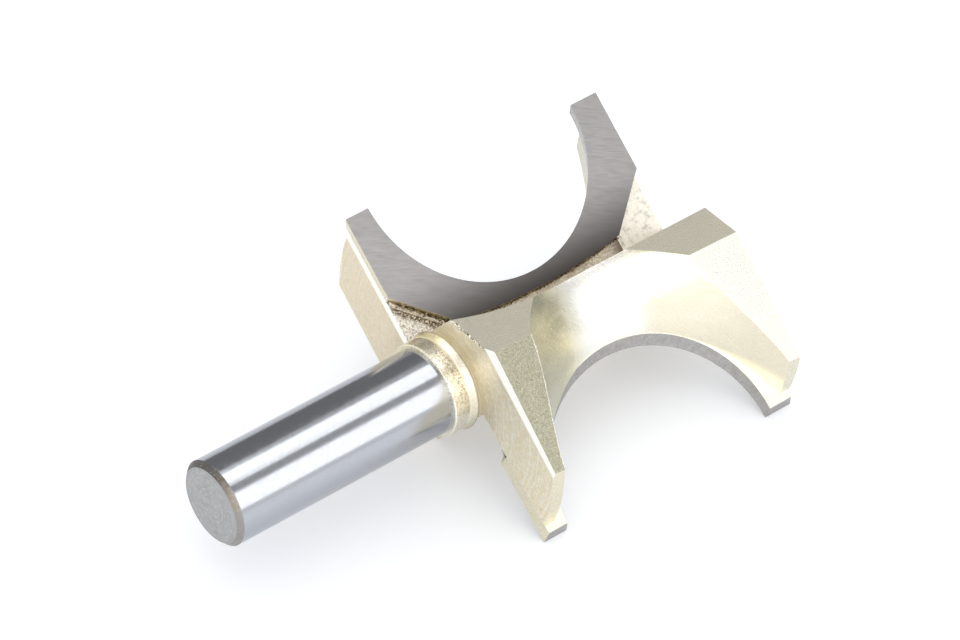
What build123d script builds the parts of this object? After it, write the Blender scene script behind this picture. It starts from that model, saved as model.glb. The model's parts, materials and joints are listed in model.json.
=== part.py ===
"""Half-round router bit: one steel body with two brazed carbide blades.

The bit is drawn standing on its shank, along Z, and laid down at the end.
Wing A reaches out along +X and turns towards +Y, so its cutting face looks
along +Y and its back lies towards -Y. Wing B is wing A turned half round.
"""
from build123d import *
from math import hypot, sqrt
import os

# ---- Shank and collar -------------------------------------------------------
shank_diameter = 12.7
shank_length = 36.5
shank_end_chamfer = 0.75
collar_diameter = 14.0
collar_length = 3.65
collar_edge = 0.2              # small chamfer on the collar's free edge
ring_groove_depth = 0.18       # turned line between the two collar rings
ring_groove_width = 0.3
ring_diameter = 14.2           # ring that runs into the head
ring_width = 0.95
ring_foot = 0.28               # its flare against the head

# ---- Blades -----------------------------------------------------------------
cutting_radius = 26.0          # out to the blade's rim, along X
face_offset = 2.9              # cutting face lies this far behind the axis
blade_thickness = 1.8
groove_radius = 18.4           # the half round that the bit cuts
groove_centre = 26.15          # its centre, out from the axis
near_tip_width = 4.0           # blade tip on the shank side
far_tip_width = 4.7
flank_length = 12.3            # straight sides of the blade, from the rim in
inner_edge_out = 6.45          # where the 45 degree corners meet the inner edge
inner_edge_bow = 1.17          # the inner edge bows towards the axis
bevel_run = 7.9                # axial length of each cut corner
rim_relief = 0.85              # how far each ground side falls back
flank_relief = 0.42            # over the blade's thickness
groove_root_relief = 1.4
groove_side_relief = 0.3

# ---- Head: the steel that carries the blades --------------------------------
body_rim_setback = 2.0         # blade stands proud of the steel at the rim
body_root_setback = 0.35       # and at the groove's root
body_groove_radius = 21.6
relief_axis_in = 2.8           # the head is turned about an axis set off
relief_axis_ahead = 4.9        # from the shank's, which relieves its back
wall_far = 4.0                 # gullet wall, out from the axis at the far end
wall_knee = 4.08               # and where it starts to flare
wall_near = 6.7
knee_height = 15.6             # flare length along the axis
back_depth_near = 15.0         # axis to the crease of the back, at the shank side
back_depth_far = 12.1
back_fall = 0.9                # the back facet falls away by this much
back_fall_span = 20.0          # over this distance outwards
bevel_drop = 5.6               # bevel facet beside the crease
bevel_span = 7.0
bevel_depth_far = 11.15
edge_strip_depth = 0.9         # long chamfer between shank-side face and back
edge_strip_width = 0.65
edge_strip_taper = 0.45
edge_strip_run = 18.7
seat_edge_chamfer = 0.42       # bright edge beside the blade seat

# ---- Braze ------------------------------------------------------------------
braze_height = 0.8
braze_bead_width = 0.75

# ---- Worked out from the sizes above ----------------------------------------
head_near = shank_length + collar_length
head_length = near_tip_width + 2 * groove_radius + far_tip_width
head_far = head_near + head_length
head_middle = (head_near + head_far) / 2
groove_height = head_near + near_tip_width + groove_radius
seat_depth = face_offset + blade_thickness
blade_root_back = groove_centre - groove_radius - groove_root_relief
reach = 2 * cutting_radius     # longer than any cut needs to be
overrun = 2.0                  # how far cutting sketches pass the head's ends
tolerance = 0.01               # for picking edges by their place


def plane_through(a, b, c):
    """Plane with its origin at a, its x axis towards b, and c in it."""
    a, b, c = Vector(*a), Vector(*b), Vector(*c)
    return Plane(origin=a, x_dir=b - a, z_dir=(b - a).cross(c - a))


# Sketches on these planes read: x outwards, y up the axis, normal backwards.
cutting_plane = Plane.XZ.offset(face_offset)
seat_plane = Plane.XZ.offset(seat_depth)

# ---- One half of the head: wing A and half of the core ----------------------
rim_from_relief_axis = hypot(cutting_radius - body_rim_setback + relief_axis_in,
                             seat_depth + relief_axis_ahead)
root_from_relief_axis = hypot(blade_root_back - body_root_setback + relief_axis_in,
                              seat_depth + relief_axis_ahead)
body_groove_centre = root_from_relief_axis + body_groove_radius
body_groove_half_height = sqrt(body_groove_radius ** 2
                               - (body_groove_centre - rim_from_relief_axis) ** 2)
relief_origin = (-relief_axis_in, relief_axis_ahead, 0)
relief_plane = Plane(origin=relief_origin, x_dir=(1, 0, 0), z_dir=(0, -1, 0))

back_plane = plane_through((0, -back_depth_near, head_near),
                           (0, -back_depth_far, head_far),
                           (back_fall_span, -(back_depth_near - back_fall), head_near))
bevel_plane = plane_through((0, -back_depth_near, head_near),
                            (0, -bevel_depth_far, head_far),
                            (-bevel_span, -(back_depth_near - bevel_drop), head_near))
strip_end = head_near + edge_strip_width
crease_fall = (back_depth_near - back_depth_far) / head_length
crease_depth = back_depth_near - crease_fall * edge_strip_width
edge_strip_plane = plane_through(
    (0, -(back_depth_near - edge_strip_depth), head_near),
    (0, -crease_depth, strip_end),
    (edge_strip_run, -(back_depth_near - edge_strip_depth - edge_strip_taper), head_near))


def outside_gullet_wall(side):
    """Sketch of what lies outside a gullet wall: side 1 is wing A's, -1 wing B's."""
    with BuildSketch() as outside:
        with BuildLine():
            wall = Line((side * wall_far, head_far),
                        (side * wall_knee, head_near + knee_height))
            flare = TangentArc(wall @ 1, (side * wall_near, head_near), tangent=wall % 1)
            Polyline(flare @ 1, (side * wall_near, head_near - overrun),
                     (side * reach, head_near - overrun),
                     (side * reach, head_far + overrun),
                     (side * wall_far, head_far + overrun), wall @ 0)
        make_face()
    return outside.sketch


def axis_side(plane):
    """Which side of a plane holds the middle of the head's axis."""
    height = plane.to_local_coords(Vector(0, 0, head_middle)).Z
    return Keep.TOP if height > 0 else Keep.BOTTOM


with BuildPart() as half_head:
    with BuildSketch(relief_plane):
        with BuildLine():
            Polyline((rim_from_relief_axis, head_middle - body_groove_half_height),
                     (rim_from_relief_axis, head_near),
                     (0, head_near),
                     (0, head_far),
                     (rim_from_relief_axis, head_far),
                     (rim_from_relief_axis, head_middle + body_groove_half_height))
            ThreePointArc((rim_from_relief_axis, head_middle + body_groove_half_height),
                          (root_from_relief_axis, head_middle),
                          (rim_from_relief_axis, head_middle - body_groove_half_height))
        make_face()
    revolve(axis=Axis(relief_origin, (0, 0, 1)))
    split(bisect_by=Plane.XZ, keep=Keep.TOP)
    with BuildSketch(seat_plane):
        add(outside_gullet_wall(1))
    extrude(amount=-seat_depth - overrun, mode=Mode.SUBTRACT)
    with BuildSketch(Plane.XZ):
        add(outside_gullet_wall(-1))
    extrude(amount=reach, mode=Mode.SUBTRACT)
    for facet in (back_plane, bevel_plane, edge_strip_plane):
        split(bisect_by=facet, keep=axis_side(facet))
    near_edges = half_head.edges().filter_by_position(
        Axis.Z, head_near - tolerance, head_near + tolerance)
    seat_edge = near_edges.filter_by_position(
        Axis.Y, -seat_depth - tolerance, -seat_depth + tolerance)
    chamfer(seat_edge, length=seat_edge_chamfer)

# ---- Steel body: shank, collar and both halves of the head ------------------
shank_radius = shank_diameter / 2
collar_radius = collar_diameter / 2
ring_radius = ring_diameter / 2
ring_start = head_near - ring_width
groove_start = ring_start - ring_groove_width

with BuildPart() as standing_body:
    with BuildSketch(Plane.XZ):
        with BuildLine():
            Polyline((0, 0),
                     (shank_radius - shank_end_chamfer, 0),
                     (shank_radius, shank_end_chamfer),
                     (shank_radius, shank_length),
                     (collar_radius - collar_edge, shank_length),
                     (collar_radius, shank_length + collar_edge),
                     (collar_radius, groove_start),
                     (collar_radius - ring_groove_depth, groove_start + ring_groove_width / 2),
                     (collar_radius, ring_start),
                     (ring_radius, ring_start + ring_foot),
                     (ring_radius + ring_foot, head_near),
                     (0, head_near),
                     (0, 0))
        make_face()
    revolve(axis=Axis.Z)
    add(half_head.part)
    add(half_head.part.rotate(Axis.Z, 180))

# ---- One blade, in wing A's seat --------------------------------------------
blade_near_corner = head_near + bevel_run
blade_far_corner = head_far - bevel_run
flank_end = cutting_radius - flank_length


def groove_circle(depth_share):
    """The ground half round at a share of the blade's thickness behind its face."""
    centre_out = groove_centre - depth_share * (groove_root_relief - groove_side_relief)
    radius = groove_radius + depth_share * groove_side_relief
    plane = cutting_plane.offset(depth_share * blade_thickness)
    with BuildSketch(plane) as circle:
        with Locations((centre_out, groove_height)):
            Circle(radius)
    return circle.sketch


def blade_outline():
    """The blade's plan before its ground sides are relieved."""
    with BuildSketch() as outline:
        with BuildLine():
            Polyline((inner_edge_out, blade_near_corner), (flank_end, head_near),
                     (cutting_radius, head_near), (cutting_radius, head_far),
                     (flank_end, head_far), (inner_edge_out, blade_far_corner))
            ThreePointArc((inner_edge_out, blade_far_corner),
                          (inner_edge_out - inner_edge_bow, head_middle),
                          (inner_edge_out, blade_near_corner))
        make_face()
    return outline.sketch


with BuildPart() as blade:
    with BuildSketch(cutting_plane):
        add(blade_outline())
    extrude(amount=blade_thickness)
    loft([groove_circle(-1), groove_circle(2)], ruled=True, mode=Mode.SUBTRACT)
    rim = plane_through((cutting_radius, -face_offset, head_near),
                        (cutting_radius, -face_offset, head_far),
                        (cutting_radius - rim_relief, -seat_depth, head_near))
    near_flank = plane_through((0, -face_offset, head_near), (reach, -face_offset, head_near),
                               (0, -seat_depth, head_near + flank_relief))
    far_flank = plane_through((0, -face_offset, head_far), (reach, -face_offset, head_far),
                              (0, -seat_depth, head_far - flank_relief))
    for ground_side in (rim, near_flank, far_flank):
        split(bisect_by=ground_side, keep=axis_side(ground_side))

# ---- Braze along the blade's inner edge and its shank-side corner -----------
bead_start = head_near + seat_edge_chamfer
bead_start_out = flank_end - (flank_end - inner_edge_out) * seat_edge_chamfer / bevel_run
bead_shift = braze_bead_width * sqrt(2)

with BuildPart() as braze:
    with BuildSketch(seat_plane):
        with BuildLine():
            Polyline((bead_start_out, bead_start),
                     (bead_start_out - bead_shift, bead_start),
                     (inner_edge_out - bead_shift, blade_near_corner),
                     (0, blade_near_corner),
                     (0, blade_far_corner),
                     (inner_edge_out, blade_far_corner),
                     (inner_edge_out, blade_near_corner),
                     (bead_start_out, bead_start))
        make_face()
        add(outside_gullet_wall(1), mode=Mode.INTERSECT)
        add(blade_outline(), mode=Mode.SUBTRACT)
    extrude(amount=-braze_height)

# ---- Laid down --------------------------------------------------------------
# The bit rests on both tips of blade B and on the crease of wing A's back, so its
# axis lies level. X then runs along the shank towards the head, and Z is up.
crease_rest = Vector(0, -crease_depth, head_near)
tip_rest = Vector(-cutting_radius, face_offset, head_near)
upright = Vector(0, 0, 1).cross(crease_rest - tip_rest).normalized()
floor_plane = Plane(origin=tip_rest, x_dir=(0, 0, 1), z_dir=upright)
on_floor = floor_plane.location.inverse()
blade_turned = blade.part.rotate(Axis.Z, 180)
braze_turned = braze.part.rotate(Axis.Z, 180)
on_floor_pieces = [piece.moved(on_floor)
                   for piece in (standing_body.part, blade.part, blade_turned)]
box = Compound(children=on_floor_pieces).bounding_box()
lay_down = Location((-box.center().X, -box.center().Y, -box.min.Z)) * on_floor

os.makedirs("parts", exist_ok=True)

with BuildPart() as cutter_body:
    add(standing_body.part.moved(lay_down))
cutter_body.part.label = "cutter_body"
export_step(cutter_body.part, "parts/cutter_body.step")

with BuildPart() as blade_a:
    add(blade.part.moved(lay_down))
blade_a.part.label = "blade_a"
export_step(blade_a.part, "parts/blade_a.step")

with BuildPart() as blade_b:
    add(blade_turned.moved(lay_down))
blade_b.part.label = "blade_b"
export_step(blade_b.part, "parts/blade_b.step")

with BuildPart() as braze_seam_a:
    add(braze.part.moved(lay_down))
braze_seam_a.part.label = "braze_seam_a"
export_step(braze_seam_a.part, "parts/braze_seam_a.step")

with BuildPart() as braze_seam_b:
    add(braze_turned.moved(lay_down))
braze_seam_b.part.label = "braze_seam_b"
export_step(braze_seam_b.part, "parts/braze_seam_b.step")
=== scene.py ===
# %% [markdown]
# # A half-round router bit
# A router bit is one piece of steel with carbide blades brazed onto it. The shank is
# ground bright for the router's collet. The head is turned and milled, then washed a pale
# gold. Each of its two wings carries a carbide blade with a half-round hollow, which cuts
# a round edge on a board.
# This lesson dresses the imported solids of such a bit. The solids are the frame: nothing
# is moved or resized. Each piece is copied from the frame, its facets are told apart by
# where they lie, and every facet gets the finish of the tool that made it.

# %% Load the frame
import json
from math import atan2, cos, degrees, hypot, pi, radians, sin

import bmesh
import bpy
from mathutils import Matrix, Vector


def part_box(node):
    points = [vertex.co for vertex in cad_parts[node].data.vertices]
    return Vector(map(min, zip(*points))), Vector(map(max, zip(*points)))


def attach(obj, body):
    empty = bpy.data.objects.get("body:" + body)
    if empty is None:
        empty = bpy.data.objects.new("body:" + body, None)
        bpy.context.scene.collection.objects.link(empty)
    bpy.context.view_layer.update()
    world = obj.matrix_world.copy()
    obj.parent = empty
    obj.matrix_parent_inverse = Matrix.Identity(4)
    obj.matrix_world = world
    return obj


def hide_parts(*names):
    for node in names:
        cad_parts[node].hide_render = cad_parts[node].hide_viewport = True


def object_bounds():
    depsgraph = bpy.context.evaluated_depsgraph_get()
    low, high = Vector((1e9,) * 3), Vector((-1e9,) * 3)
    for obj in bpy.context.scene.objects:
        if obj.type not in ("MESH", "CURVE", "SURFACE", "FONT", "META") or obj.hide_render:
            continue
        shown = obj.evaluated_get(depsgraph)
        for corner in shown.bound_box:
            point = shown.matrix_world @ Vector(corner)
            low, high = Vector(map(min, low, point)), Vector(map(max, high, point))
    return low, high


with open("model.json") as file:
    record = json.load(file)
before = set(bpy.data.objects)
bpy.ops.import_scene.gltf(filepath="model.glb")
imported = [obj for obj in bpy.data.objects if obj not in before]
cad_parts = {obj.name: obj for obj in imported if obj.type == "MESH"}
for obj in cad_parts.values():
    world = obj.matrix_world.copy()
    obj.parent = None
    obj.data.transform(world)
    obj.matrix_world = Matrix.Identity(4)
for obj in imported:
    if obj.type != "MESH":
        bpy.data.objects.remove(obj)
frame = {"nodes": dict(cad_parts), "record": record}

cad_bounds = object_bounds()
print("nodes:", sorted(frame["nodes"]))

# %% [markdown]
# ## The bit's own axes
# The bit lies on its side, so its wings are tilted. It is easier to think in the bit's
# own axes: h runs up the shank's axis from its free end, u reaches out along wing A, and
# v is square to both. Wing B is wing A turned half round, so a point with v above zero is
# turned back and treated as wing A's.

# %% Sizes, in millimetres
mm = 0.001
shank = next(m for m in frame["record"]["mounts"] if m["name"] == "shank")
shank_chamfer = 0.75
collar_start = 36.5
ring_line = 38.9
cutting_radius = 26.0
face_depth = 2.9
seat_depth = 4.7
crease_depth = 14.959
relief_in = 2.8
relief_ahead = 4.9
rim_radius = 28.47
groove_out = 26.15
groove_from_head = 22.4
inner_edge_out = 6.45
inner_edge_bow = 1.17
bevel_run = 7.9
bevel_rise = 7.25

axis_height = shank["pos_m"][2]
shank_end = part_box("cutter_body")[0][0]
head_near = (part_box("blade_a")[0][0] - shank_end) / mm
head_far = (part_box("blade_a")[1][0] - shank_end) / mm
head_middle = (head_near + head_far) / 2
groove_height = head_near + groove_from_head
corner_from_middle = head_middle - head_near - bevel_run
wing_tilt = atan2(crease_depth + face_depth, cutting_radius)
print(f"head from {head_near:.2f} to {head_far:.2f} mm")
print(f"wings tilted {degrees(wing_tilt):.1f} degrees")

# %% From the row frame to the bit's axes and back
bit_to_row = (Matrix.Translation((shank_end, 0, axis_height))
              @ Matrix.Rotation(wing_tilt, 4, "X")
              @ Matrix.Scale(mm, 4))
row_to_bit = bit_to_row.inverted()
half_turn = Matrix.Rotation(pi, 4, "X")
print("free end of the shank's axis:", [round(c, 4) for c in bit_to_row.translation])


def as_wing_a(place, normal):
    """A point and a normal in the bit's axes, with wing B turned back onto wing A."""
    place = row_to_bit @ place
    normal = (row_to_bit.to_3x3() @ normal).normalized()
    if place.z > 0:
        return half_turn @ place, half_turn.to_3x3() @ normal
    return place, normal


# %% [markdown]
# ## Helpers for shader nodes
# Materials are built from nodes in code. Small helpers keep that short: they add a node
# with its settings, do sums, map one range onto another, mix colours, and make and place
# node groups with named sockets.

# %% Node helpers
def connect(tree, node, **inputs):
    """Sets a node's inputs to values or sockets, given by the input's name or number."""
    for name, value in inputs.items():
        key = int(name[1:]) if name[0] == "_" else name.replace("_", " ")
        if isinstance(value, bpy.types.NodeSocket):
            tree.links.new(value, node.inputs[key])
        else:
            node.inputs[key].default_value = value


def add_node(tree, kind, settings=None, **inputs):
    """A new node, with its settings and inputs."""
    node = tree.nodes.new(kind)
    for name, value in (settings or {}).items():
        setattr(node, name, value)
    connect(tree, node, **inputs)
    return node


def calc(tree, operation, first, second=0.0, third=0.0):
    """The result of one Math node."""
    node = add_node(tree, "ShaderNodeMath", {"operation": operation},
                    _0=first, _1=second, _2=third)
    return node.outputs[0]


def plus(tree, first, second):
    return calc(tree, "ADD", first, second)


def minus(tree, first, second):
    return calc(tree, "SUBTRACT", first, second)


def times(tree, first, second):
    return calc(tree, "MULTIPLY", first, second)


def times_plus(tree, first, second, third):
    return calc(tree, "MULTIPLY_ADD", first, second, third)


def span(tree, value, low, high, to_low=0.0, to_high=1.0):
    """A value mapped from one range to another, smoothly and clamped."""
    node = add_node(tree, "ShaderNodeMapRange", {"interpolation_type": "SMOOTHSTEP"},
                    Value=value, From_Min=low, From_Max=high, To_Min=to_low,
                    To_Max=to_high)
    return node.outputs["Result"]


def mixed(tree, first, second, factor):
    """The first colour, with the second one mixed in by a factor."""
    node = add_node(tree, "ShaderNodeMix", {"data_type": "RGBA"},
                    _0=factor, _6=first, _7=second)
    return node.outputs[2]


def tinge(tree, first, second, mask, amount):
    """The first colour, with the second one where a mask shows, up to an amount."""
    return mixed(tree, first, second, times(tree, mask, amount))


def new_group(name, inputs, outputs):
    """An empty shader group with named float or vector sockets."""
    group = bpy.data.node_groups.new(name, "ShaderNodeTree")
    kinds = {"float": "NodeSocketFloat", "vector": "NodeSocketVector"}
    for label, (kind, value) in inputs.items():
        socket = group.interface.new_socket(label, in_out="INPUT",
                                            socket_type=kinds[kind])
        if value is not None:
            socket.default_value = value
    for label, kind in outputs.items():
        group.interface.new_socket(label, in_out="OUTPUT", socket_type=kinds[kind])
    given = group.nodes.new("NodeGroupInput").outputs
    return group, given, group.nodes.new("NodeGroupOutput")


def use_group(tree, group, **inputs):
    """A group placed in a material, with its own values."""
    return add_node(tree, "ShaderNodeGroup", {"node_tree": group}, **inputs).outputs


def rgb(red, green, blue):
    """An opaque colour, in linear light."""
    return (red, green, blue, 1.0)


print("helpers:", ", ".join(helper.__name__ for helper in (
    connect, add_node, calc, span, mixed, tinge, new_group, use_group, rgb)))

# %% [markdown]
# ## Marks that tools leave
# Four effects make nearly every finish here, so each is a group, built once. Grain is the
# fine sparkle of blasted or etched steel. Rings are the lines that a lathe tool leaves
# round an axis. Streaks are the long scratches of a grinding wheel. Blotches are stains
# of oil, heat and flux.

# %% Grain
def make_grain():
    cell_share, dent = 0.9, 0.4
    group, given, result = new_group(
        "grain", {"Vector": ("vector", None), "Size": ("float", 0.12)},
        {"Height": "float", "Tone": "float", "Sparkle": "float", "Cell": "float"})
    fineness = calc(group, "DIVIDE", 1.0, given["Size"])
    noise = add_node(group, "ShaderNodeTexNoise", Vector=given["Vector"],
                     Scale=fineness, Detail=3.0, Roughness=0.6)
    cells = add_node(group, "ShaderNodeTexVoronoi", Vector=given["Vector"],
                     Scale=times(group, fineness, cell_share))
    glint = add_node(group, "ShaderNodeSeparateColor", Color=cells.outputs["Color"])
    height = plus(group, noise.outputs[0],
                  times(group, cells.outputs["Distance"], dent))
    connect(group, result, Height=height, Tone=span(group, noise.outputs[0], 0.3, 0.7),
            Sparkle=span(group, glint.outputs[0], 0.9, 0.98), Cell=glint.outputs[1])
    return group


grain = make_grain()
print("group:", grain.name)


# %% Rings round an axis
def make_rings():
    group, given, result = new_group(
        "rings", {"Vector": ("vector", None), "Axis U": ("float", 0.0),
                  "Axis V": ("float", 0.0), "Along": ("float", 0.0),
                  "Pitch": ("float", 0.3), "Breakup": ("float", 0.3)},
        {"Height": "float", "Tone": "float"})
    part = add_node(group, "ShaderNodeSeparateXYZ", Vector=given["Vector"])
    side = times(group, calc(group, "SIGN", part.outputs[2]), -1.0)
    out = minus(group, times(group, part.outputs[1], side), given["Axis U"])
    up = minus(group, times(group, part.outputs[2], side), given["Axis V"])
    squares = plus(group, times(group, out, out), times(group, up, up))
    radius = calc(group, "SQRT", squares)
    lines = plus(group, times(group, radius, minus(group, 1.0, given["Along"])),
                 times(group, part.outputs[0], given["Along"]))
    place = add_node(group, "ShaderNodeCombineXYZ",
                     X=calc(group, "DIVIDE", lines, given["Pitch"]))
    turns = add_node(group, "ShaderNodeTexNoise", Vector=place.outputs[0],
                     Scale=1.0, Detail=2.0, Roughness=0.7)
    broken = add_node(group, "ShaderNodeTexNoise", Vector=given["Vector"],
                      Scale=1.3, Detail=2.0)
    tone = times_plus(group, minus(group, broken.outputs[0], 0.5), given["Breakup"],
                      turns.outputs[0])
    connect(group, result, Height=tone, Tone=span(group, tone, 0.3, 0.7))
    return group


rings = make_rings()
print("group:", rings.name)


# %% Grinding streaks
def make_streaks():
    group, given, result = new_group(
        "streaks", {"Vector": ("vector", None), "Angle": ("float", 0.0),
                    "Size": ("vector", (7.0, 0.2, 0.2))},
        {"Height": "float", "Tone": "float"})
    turn = add_node(group, "ShaderNodeVectorRotate", {"rotation_type": "Z_AXIS"},
                    Vector=given["Vector"], Angle=given["Angle"])
    stretched = add_node(group, "ShaderNodeVectorMath", {"operation": "DIVIDE"},
                         _0=turn.outputs[0], _1=given["Size"])
    noise = add_node(group, "ShaderNodeTexNoise", Vector=stretched.outputs[0],
                     Scale=1.0, Detail=3.0, Roughness=0.65)
    connect(group, result, Height=noise.outputs[0],
            Tone=span(group, noise.outputs[0], 0.3, 0.7))
    return group


streaks = make_streaks()
print("group:", streaks.name)


# %% Blotches
def make_blotches():
    softness = 0.12
    group, given, result = new_group(
        "blotches", {"Vector": ("vector", None), "Size": ("float", 3.0),
                     "Cover": ("float", 0.4)},
        {"Mask": "float"})
    noise = add_node(group, "ShaderNodeTexNoise", Vector=given["Vector"],
                     Scale=calc(group, "DIVIDE", 1.0, given["Size"]), Detail=5.0,
                     Roughness=0.62)
    edge = minus(group, 1.0, given["Cover"])
    low = minus(group, edge, softness)
    high = plus(group, edge, softness)
    connect(group, result, Mask=span(group, noise.outputs[0], low, high))
    return group


blotches = make_blotches()
print("group:", blotches.name)


# %% [markdown]
# ## How far a place is from the blade
# The torch leaves its marks beside the blade: braze that ran out, and a dark burn that
# fades away from the joint. Both depend on the distance from the blade's inner edge and
# from its cut corners, so that distance is worked out once, from the blade's outline.
# It is below zero on the blade. The outline is the same at both ends, so h is folded at
# the middle.

# %% Distance from the blade, in millimetres
def make_from_blade():
    group, given, result = new_group(
        "from_blade", {"Vector": ("vector", None), "Ripple": ("float", 0.0)},
        {"Distance": "float", "Out": "float", "Along": "float"})
    part = add_node(group, "ShaderNodeSeparateXYZ", Vector=given["Vector"])
    side = times(group, calc(group, "SIGN", part.outputs[2]), -1.0)
    out = times(group, part.outputs[1], side)
    from_middle = calc(group, "ABSOLUTE", minus(group, part.outputs[0], head_middle))
    share = calc(group, "DIVIDE", from_middle, corner_from_middle)
    edge_out = times_plus(group, times(group, share, share), inner_edge_bow,
                          inner_edge_out - inner_edge_bow)
    from_inner = minus(group, edge_out, out)
    slope = hypot(bevel_run, bevel_rise)
    along = times(group, minus(group, from_middle, corner_from_middle),
                  bevel_rise / slope)
    down = times(group, minus(group, out, inner_edge_out), -bevel_run / slope)
    from_corner = plus(group, along, down)
    ripple = add_node(group, "ShaderNodeTexNoise", Vector=given["Vector"], Scale=1.4,
                      Detail=3.0)
    waved = times(group, minus(group, ripple.outputs[0], 0.5), given["Ripple"])
    nearest = calc(group, "MAXIMUM", from_inner, from_corner)
    connect(group, result, Distance=plus(group, nearest, waved), Out=out,
            Along=part.outputs[0])
    return group


from_blade = make_from_blade()
print("group:", from_blade.name)

# %% [markdown]
# ## One metal recipe
# Every finish is the same recipe with other values: a base colour, other colours that
# the marks bring in, a roughness that swings between two values, and a bump. The recipe
# starts a material, and each finish then links its own marks to it. All of them read the
# bit's own axes in millimetres, through a Mapping node on the Object coordinates.

# %% The recipe
finishes = {}


def new_metal(name, bump_height):
    """Starts a finish: a bumped metal shader. Returns its tree and the bit's axes."""
    material = bpy.data.materials.new(name)
    material.use_nodes = True
    finishes[name] = material
    tree = material.node_tree
    tree.nodes.clear()
    place = add_node(tree, "ShaderNodeTexCoord")
    axes = add_node(tree, "ShaderNodeMapping", {"vector_type": "TEXTURE"},
                    Vector=place.outputs["Object"],
                    Location=(shank_end, 0.0, axis_height),
                    Rotation=(wing_tilt, 0.0, 0.0), Scale=(mm, mm, mm))
    bump = add_node(tree, "ShaderNodeBump", Strength=1.0, Distance=bump_height * mm)
    shader = add_node(tree, "ShaderNodeBsdfPrincipled", Metallic=1.0,
                      Normal=bump.outputs[0])
    add_node(tree, "ShaderNodeOutputMaterial", Surface=shader.outputs[0])
    return tree, axes.outputs[0]


def set_marks(tree, colour, height, tone, smoothest, roughest):
    """Links a finish's colour and height. Its roughness swings with a tone."""
    connect(tree, tree.nodes["Principled BSDF"], Base_Color=colour,
            Roughness=span(tree, tone, 0.0, 1.0, smoothest, roughest))
    connect(tree, tree.nodes["Bump"], Height=height)


def make(*makers):
    """Makes some finishes and says which."""
    for maker in makers:
        maker()
    print("finishes:", ", ".join(maker.__name__ for maker in makers))


def along_out_ahead(tree, axes):
    """The three coordinates of a place: h, u and v."""
    return add_node(tree, "ShaderNodeSeparateXYZ", Vector=axes).outputs


GOLD = rgb(0.82, 0.755, 0.60)
PALE_GOLD = rgb(0.92, 0.885, 0.76)
# The near end of the etched facets: their own greenish tone, darkened as painted shade.
SHADED_GREEN_GOLD = rgb(0.37, 0.355, 0.25)
MILLED_GOLD = rgb(0.86, 0.81, 0.66)
BRIGHT_GOLD = rgb(0.97, 0.93, 0.80)
STEEL = rgb(0.465, 0.485, 0.525)
DARK_STEEL = rgb(0.40, 0.40, 0.41)
SCORCHED = rgb(0.10, 0.095, 0.09)
CARBIDE = rgb(0.43, 0.415, 0.41)
DARK_CARBIDE = rgb(0.36, 0.35, 0.345)
# Painted shade on the carbide's flat face, towards the joint.
SHADED_CARBIDE = rgb(0.045, 0.038, 0.035)
BRAZE = rgb(0.30, 0.21, 0.12)
DARK_BRAZE = rgb(0.09, 0.065, 0.045)
print("gold:", GOLD[:3], "steel:", STEEL[:3], "carbide:", CARBIDE[:3])

# %% [markdown]
# ## Finishes of the steel
# The shank is ground bright, with lines that run round it. Its end is sawn and faced, and
# its chamfer is tinted brown by heat. The collar is coarse and stippled, because its gold
# wash lies over a rough turned surface. The faces of the head show turning lines, and the
# facets on its back show the etch that the wash leaves. A picture of real steel could be
# wrapped round the bit, but it would bring its own light and seams, so every mark is
# worked out from its place.

# %% Shank, end and chamfer
def ground_shank():
    tree, axes = new_metal("ground_shank", 0.0024)
    lines = use_group(tree, rings, Vector=axes, Along=1.0, Pitch=0.07, Breakup=0.5)
    speck = use_group(tree, grain, Vector=axes, Size=0.2)
    colour = tinge(tree, STEEL, DARK_STEEL, speck["Tone"], 0.2)
    colour = tinge(tree, colour, DARK_STEEL, lines["Tone"], 0.25)
    height = times_plus(tree, speck["Height"], 0.8, lines["Height"])
    set_marks(tree, colour, height, lines["Tone"], 0.12, 0.2)


def faced_end():
    light, dark = rgb(0.50, 0.50, 0.495), rgb(0.36, 0.36, 0.355)
    oil, glint = rgb(0.28, 0.275, 0.27), rgb(0.85, 0.85, 0.83)
    tree, axes = new_metal("faced_end", 0.012)
    lines = use_group(tree, rings, Vector=axes, Pitch=0.24, Breakup=0.35)
    speck = use_group(tree, grain, Vector=axes, Size=0.12)
    stain = use_group(tree, blotches, Vector=axes, Size=1.6, Cover=0.45)
    colour = mixed(tree, light, dark, lines["Tone"])
    colour = tinge(tree, colour, oil, stain["Mask"], 0.2)
    colour = tinge(tree, colour, glint, speck["Sparkle"], 0.25)
    height = times_plus(tree, speck["Height"], 0.8, lines["Height"])
    set_marks(tree, colour, height, speck["Tone"], 0.34, 0.5)


def heat_tinted_chamfer():
    bare, brown = rgb(0.34, 0.335, 0.325), rgb(0.37, 0.31, 0.24)
    glint = rgb(0.85, 0.82, 0.75)
    tree, axes = new_metal("heat_tinted_chamfer", 0.02)
    speck = use_group(tree, grain, Vector=axes, Size=0.2)
    tint = use_group(tree, blotches, Vector=axes, Size=1.6, Cover=0.5)
    out = along_out_ahead(tree, axes)[1]
    heated = span(tree, out, -4.0, -1.0, 0.25, 1.0)
    colour = tinge(tree, bare, brown, tint["Mask"], heated)
    scorch = span(tree, times_plus(tree, tint["Mask"], 1.2, out), 0.0, 5.0, 0.0, 0.9)
    colour = mixed(tree, colour, SCORCHED, scorch)
    colour = tinge(tree, colour, glint, speck["Sparkle"], 0.15)
    set_marks(tree, colour, speck["Height"], speck["Tone"], 0.34, 0.5)


make(ground_shank, faced_end, heat_tinted_chamfer)


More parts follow.
